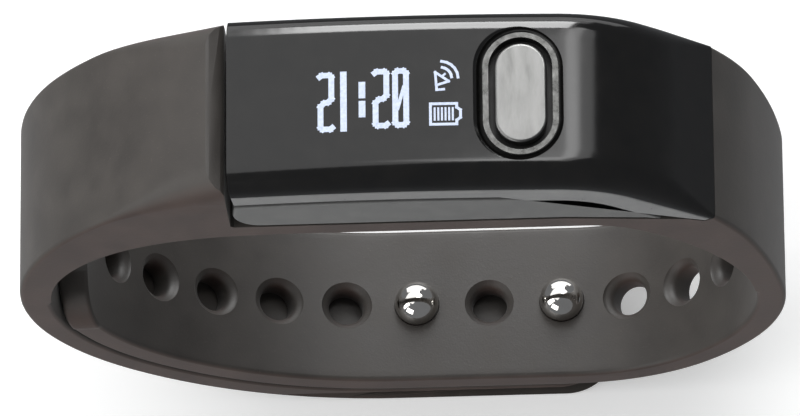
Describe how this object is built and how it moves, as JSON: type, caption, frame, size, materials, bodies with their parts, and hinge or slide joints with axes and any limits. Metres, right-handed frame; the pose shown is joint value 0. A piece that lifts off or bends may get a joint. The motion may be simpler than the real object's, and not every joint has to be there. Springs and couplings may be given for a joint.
{
  "type": "fitness tracker band",
  "caption": "Closed rubber wristband with overlapping tails and ball studs, carrying a lift-out tracker pod with a curved glossy display and a pill-shaped push button.",
  "frame": {"origin": "bottom centre of the closed band's bounding box, on the clasp's outer face", "axes": "+X along the display towards the button, +Y across the strap towards the top of the digits, +Z out of the display"},
  "size_m": [0.0676, 0.016, 0.058],
  "materials": {
    "strap_rubber": "matt moulded rubber",
    "clasp_steel": "brushed",
    "stud_chrome": "polished",
    "cover_black": "gloss",
    "band_grey": "satin",
    "seal_black": "matt",
    "housing_grey": "satin",
    "bezel_silver": "polished",
    "cap_metal": "brushed",
    "chip_black": "matt",
    "nylon_white": "matt",
    "display_glass": "clear",
    "frame_black": "matt",
    "flex_amber": "satin",
    "board_green": "solder mask",
    "cell_foil": "foil",
    "motor_steel": "satin",
    "weight_grey": "sintered",
    "contact_gold": "plated",
    "screw_steel": "blackened"
  },
  "bodies": {
    "strap": {"strap_body": "strap_rubber"},
    "clasp": {"stud_tail": "strap_rubber", "clasp_plate": "clasp_steel", "clasp_studs": "stud_chrome"},
    "pod": {"cover": "cover_black", "side_band": "band_grey", "housing_seal": "seal_black", "lower_housing": "housing_grey", "button_bezel": "bezel_silver", "button_seal": "seal_black", "switch_body": "chip_black", "oled_panel": "display_glass", "display_frame": "frame_black", "display_flex": "flex_amber", "main_board": "board_green", "battery_pad": "nylon_white", "battery_cell": "cell_foil", "motor_case": "motor_steel", "charging_contacts": "contact_gold", "housing_screws": "screw_steel", "radio_chip": "chip_black", "motion_sensor": "chip_black", "memory_chip": "chip_black", "clock_crystal": "motor_steel", "chip_antenna": "nylon_white"},
    "button": {"button_cap": "cap_metal"},
    "plunger": {"switch_plunger": "nylon_white"},
    "rotor": {"motor_shaft": "motor_steel", "motor_weight": "weight_grey"}
  },
  "joints": [
    {"name": "clasp_open", "type": "hinge", "parent": "strap", "child": "clasp", "pos_m": [-0.01297, 0, 0.00184], "axis": [0, 1, 0], "range_deg": [0, 45], "stiffness_Nm_per_rad": 0.02, "springref_deg": -5.73},
    {"name": "pod_release", "type": "slide", "parent": "strap", "child": "pod", "axis": [0, 0, 1], "range_m": [0, 0.012]},
    {"name": "button_press", "type": "slide", "parent": "pod", "child": "button", "axis": [0, 0, -1], "range_m": [0, 0.00035], "stiffness_N_per_m": 3000},
    {"name": "switch_plunge", "type": "slide", "parent": "pod", "child": "plunger", "axis": [0, 0, -1], "range_m": [0, 0.00035]},
    {"name": "motor_spin", "type": "hinge", "parent": "pod", "child": "rotor", "pos_m": [0.0204, 0, 0.05091], "axis": [0, 1, 0], "continuous": true}
  ],
  "couplings": [
    {"joint": "switch_plunge", "follows": "button_press", "ratio": 1}
  ]
}
